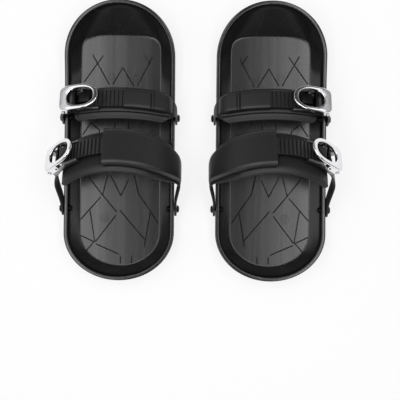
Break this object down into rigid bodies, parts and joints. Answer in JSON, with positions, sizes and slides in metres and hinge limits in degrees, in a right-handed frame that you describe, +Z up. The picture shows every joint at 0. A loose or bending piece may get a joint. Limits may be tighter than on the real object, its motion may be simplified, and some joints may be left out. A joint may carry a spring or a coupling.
{
  "type": "skiboards",
  "caption": "Short tray-shaped snow skiboards, each with a toe strap and an instep strap closed by a ratchet buckle.",
  "frame": {"origin": "on the ground, in the middle of the pair's length and of its whole width, buckles included", "axes": "+Z up, +Y towards the toes, +X towards the right board"},
  "size_m": [0.4006, 0.391, 0.1245],
  "materials": {
    "board_plastic": "black moulded polyethylene with a soft sheen",
    "strap_plastic": "black flexible strap plastic over foam, satin",
    "ladder_plastic": "black toothed nylon strip",
    "chrome": "bright chrome plate, polished",
    "buckle_steel": "stamped steel, satin",
    "spring_steel": "drawn spring wire",
    "black_steel": "blackened steel"
  },
  "bodies": {
    "left_board": {"left_deck": "board_plastic", "left_toe_inner_bolt": "black_steel", "left_toe_inner_nut": "black_steel", "left_toe_outer_bolt": "black_steel", "left_toe_outer_nut": "black_steel", "left_instep_inner_bolt": "black_steel", "left_instep_inner_nut": "black_steel", "left_instep_outer_bolt": "black_steel", "left_instep_outer_nut": "black_steel"},
    "left_toe_pad": {"left_toe_pad_strap": "strap_plastic"},
    "left_toe_ladder_strip": {"left_toe_ladder": "ladder_plastic"},
    "left_toe_buckle": {"left_toe_buckle_arm": "strap_plastic", "left_toe_buckle_base": "buckle_steel", "left_toe_lever_pin": "chrome", "left_toe_catch_pin": "chrome", "left_toe_catch_spring": "spring_steel"},
    "left_toe_lever_ring": {"left_toe_lever": "chrome"},
    "left_toe_driver": {"left_toe_drive_pawl": "black_steel"},
    "left_toe_holder": {"left_toe_catch": "black_steel"},
    "left_instep_pad": {"left_instep_pad_strap": "strap_plastic"},
    "left_instep_ladder_strip": {"left_instep_ladder": "ladder_plastic"},
    "left_instep_buckle": {"left_instep_buckle_arm": "strap_plastic", "left_instep_buckle_base": "buckle_steel", "left_instep_lever_pin": "chrome", "left_instep_catch_pin": "chrome", "left_instep_catch_spring": "spring_steel"},
    "left_instep_lever_ring": {"left_instep_lever": "chrome"},
    "left_instep_driver": {"left_instep_drive_pawl": "black_steel"},
    "left_instep_holder": {"left_instep_catch": "black_steel"},
    "right_board": {"right_deck": "board_plastic", "right_toe_inner_bolt": "black_steel", "right_toe_inner_nut": "black_steel", "right_toe_outer_bolt": "black_steel", "right_toe_outer_nut": "black_steel", "right_instep_inner_bolt": "black_steel", "right_instep_inner_nut": "black_steel", "right_instep_outer_bolt": "black_steel", "right_instep_outer_nut": "black_steel"},
    "right_toe_pad": {"right_toe_pad_strap": "strap_plastic"},
    "right_toe_ladder_strip": {"right_toe_ladder": "ladder_plastic"},
    "right_toe_buckle": {"right_toe_buckle_arm": "strap_plastic", "right_toe_buckle_base": "buckle_steel", "right_toe_lever_pin": "chrome", "right_toe_catch_pin": "chrome", "right_toe_catch_spring": "spring_steel"},
    "right_toe_lever_ring": {"right_toe_lever": "chrome"},
    "right_toe_driver": {"right_toe_drive_pawl": "black_steel"},
    "right_toe_holder": {"right_toe_catch": "black_steel"},
    "right_instep_pad": {"right_instep_pad_strap": "strap_plastic"},
    "right_instep_ladder_strip": {"right_instep_ladder": "ladder_plastic"},
    "right_instep_buckle": {"right_instep_buckle_arm": "strap_plastic", "right_instep_buckle_base": "buckle_steel", "right_instep_lever_pin": "chrome", "right_instep_catch_pin": "chrome", "right_instep_catch_spring": "spring_steel"},
    "right_instep_lever_ring": {"right_instep_lever": "chrome"},
    "right_instep_driver": {"right_instep_drive_pawl": "black_steel"},
    "right_instep_holder": {"right_instep_catch": "black_steel"}
  },
  "joints": [
    {"name": "right_board_place", "type": "slide", "parent": "left_board", "child": "right_board", "axis": [0, 1, 0], "range_m": [-0.3, 0.3]},
    {"name": "left_toe_strap_pivot", "type": "hinge", "parent": "left_board", "child": "left_toe_pad", "pos_m": [-0.104, 0.033, 0.019], "axis": [1, 0, 0], "range_deg": [-30, 25]},
    {"name": "left_toe_arm_pivot", "type": "hinge", "parent": "left_board", "child": "left_toe_buckle", "pos_m": [-0.104, 0.033, 0.019], "axis": [1, 0, 0], "range_deg": [-30, 25]},
    {"name": "left_toe_ladder_feed", "type": "hinge", "parent": "left_toe_pad", "child": "left_toe_ladder_strip", "pos_m": [-0.104, 0.0027, -0.06395], "axis": [0, -0.9397, 0.342], "range_deg": [-6.3, 6.3]},
    {"name": "left_toe_lever_hinge", "type": "hinge", "parent": "left_toe_buckle", "child": "left_toe_lever_ring", "pos_m": [-0.17545, 0.05153, 0.07022], "axis": [0, -0.9397, 0.342], "range_deg": [0, 100]},
    {"name": "left_toe_drive_pawl_hinge", "type": "hinge", "parent": "left_toe_lever_ring", "child": "left_toe_driver", "pos_m": [-0.16152, 0.05293, 0.07405], "axis": [0, 0.9397, -0.342], "range_deg": [-10, 18], "stiffness_Nm_per_rad": 0.02, "springref_deg": -20},
    {"name": "left_toe_catch_hinge", "type": "hinge", "parent": "left_toe_buckle", "child": "left_toe_holder", "pos_m": [-0.15124, 0.05427, 0.07775], "axis": [0, 0.9397, -0.342], "range_deg": [-10, 18], "stiffness_Nm_per_rad": 0.04, "springref_deg": -20, "deforming": ["left_toe_catch_spring"]},
    {"name": "left_instep_strap_pivot", "type": "hinge", "parent": "left_board", "child": "left_instep_pad", "pos_m": [-0.104, -0.095, 0.019], "axis": [1, 0, 0], "range_deg": [-5, 60]},
    {"name": "left_instep_arm_pivot", "type": "hinge", "parent": "left_board", "child": "left_instep_buckle", "pos_m": [-0.104, -0.095, 0.019], "axis": [1, 0, 0], "range_deg": [-5, 60]},
    {"name": "left_instep_ladder_feed", "type": "hinge", "parent": "left_instep_pad", "child": "left_instep_ladder_strip", "pos_m": [-0.104, -0.05993, 0.02741], "axis": [0, -0.8434, 0.5373], "range_deg": [-10.28, 10.28]},
    {"name": "left_instep_lever_hinge", "type": "hinge", "parent": "left_instep_buckle", "child": "left_instep_lever_ring", "pos_m": [-0.19282, -0.03233, 0.07074], "axis": [0, -0.8434, 0.5373], "range_deg": [0, 100]},
    {"name": "left_instep_drive_pawl_hinge", "type": "hinge", "parent": "left_instep_lever_ring", "child": "left_instep_driver", "pos_m": [-0.18257, -0.02681, 0.0794], "axis": [0, 0.8434, -0.5373], "range_deg": [-10, 18], "stiffness_Nm_per_rad": 0.02, "springref_deg": -20},
    {"name": "left_instep_catch_hinge", "type": "hinge", "parent": "left_instep_buckle", "child": "left_instep_holder", "pos_m": [-0.17543, -0.0223, 0.08647], "axis": [0, 0.8434, -0.5373], "range_deg": [-10, 18], "stiffness_Nm_per_rad": 0.04, "springref_deg": -20, "deforming": ["left_instep_catch_spring"]},
    {"name": "right_toe_strap_pivot", "type": "hinge", "parent": "right_board", "child": "right_toe_pad", "pos_m": [0.109, 0.033, 0.019], "axis": [1, 0, 0], "range_deg": [-30, 25]},
    {"name": "right_toe_arm_pivot", "type": "hinge", "parent": "right_board", "child": "right_toe_buckle", "pos_m": [0.109, 0.033, 0.019], "axis": [1, 0, 0], "range_deg": [-30, 25]},
    {"name": "right_toe_ladder_feed", "type": "hinge", "parent": "right_toe_pad", "child": "right_toe_ladder_strip", "pos_m": [0.109, 0.0027, -0.06395], "axis": [0, 0.9397, -0.342], "range_deg": [-6.3, 6.3]},
    {"name": "right_toe_lever_hinge", "type": "hinge", "parent": "right_toe_buckle", "child": "right_toe_lever_ring", "pos_m": [0.18045, 0.05153, 0.07022], "axis": [0, 0.9397, -0.342], "range_deg": [0, 100]},
    {"name": "right_toe_drive_pawl_hinge", "type": "hinge", "parent": "right_toe_lever_ring", "child": "right_toe_driver", "pos_m": [0.16652, 0.05293, 0.07405], "axis": [0, -0.9397, 0.342], "range_deg": [-10, 18], "stiffness_Nm_per_rad": 0.02, "springref_deg": -20},
    {"name": "right_toe_catch_hinge", "type": "hinge", "parent": "right_toe_buckle", "child": "right_toe_holder", "pos_m": [0.15624, 0.05427, 0.07775], "axis": [0, -0.9397, 0.342], "range_deg": [-10, 18], "stiffness_Nm_per_rad": 0.04, "springref_deg": -20, "deforming": ["right_toe_catch_spring"]},
    {"name": "right_instep_strap_pivot", "type": "hinge", "parent": "right_board", "child": "right_instep_pad", "pos_m": [0.109, -0.095, 0.019], "axis": [1, 0, 0], "range_deg": [-5, 60]},
    {"name": "right_instep_arm_pivot", "type": "hinge", "parent": "right_board", "child": "right_instep_buckle", "pos_m": [0.109, -0.095, 0.019], "axis": [1, 0, 0], "range_deg": [-5, 60]},
    {"name": "right_instep_ladder_feed", "type": "hinge", "parent": "right_instep_pad", "child": "right_instep_ladder_strip", "pos_m": [0.109, -0.05993, 0.02741], "axis": [0, 0.8434, -0.5373], "range_deg": [-10.28, 10.28]},
    {"name": "right_instep_lever_hinge", "type": "hinge", "parent": "right_instep_buckle", "child": "right_instep_lever_ring", "pos_m": [0.19301, -0.02827, 0.0771], "axis": [0, 0.8434, -0.5373], "range_deg": [0, 100]},
    {"name": "right_instep_drive_pawl_hinge", "type": "hinge", "parent": "right_instep_lever_ring", "child": "right_instep_driver", "pos_m": [0.1819, -0.02326, 0.08497], "axis": [0, -0.8434, 0.5373], "range_deg": [-10, 18], "stiffness_Nm_per_rad": 0.02, "springref_deg": -20},
    {"name": "right_instep_catch_hinge", "type": "hinge", "parent": "right_instep_buckle", "child": "right_instep_holder", "pos_m": [0.17405, -0.0191, 0.0915], "axis": [0, -0.8434, 0.5373], "range_deg": [-10, 18], "stiffness_Nm_per_rad": 0.04, "springref_deg": -20, "deforming": ["right_instep_catch_spring"]}
  ],
  "couplings": [
    {"joint": "left_toe_arm_pivot", "follows": "left_toe_strap_pivot", "ratio": 1},
    {"joint": "left_instep_arm_pivot", "follows": "left_instep_strap_pivot", "ratio": 1},
    {"joint": "right_toe_arm_pivot", "follows": "right_toe_strap_pivot", "ratio": 1},
    {"joint": "right_instep_arm_pivot", "follows": "right_instep_strap_pivot", "ratio": 1}
  ]
}
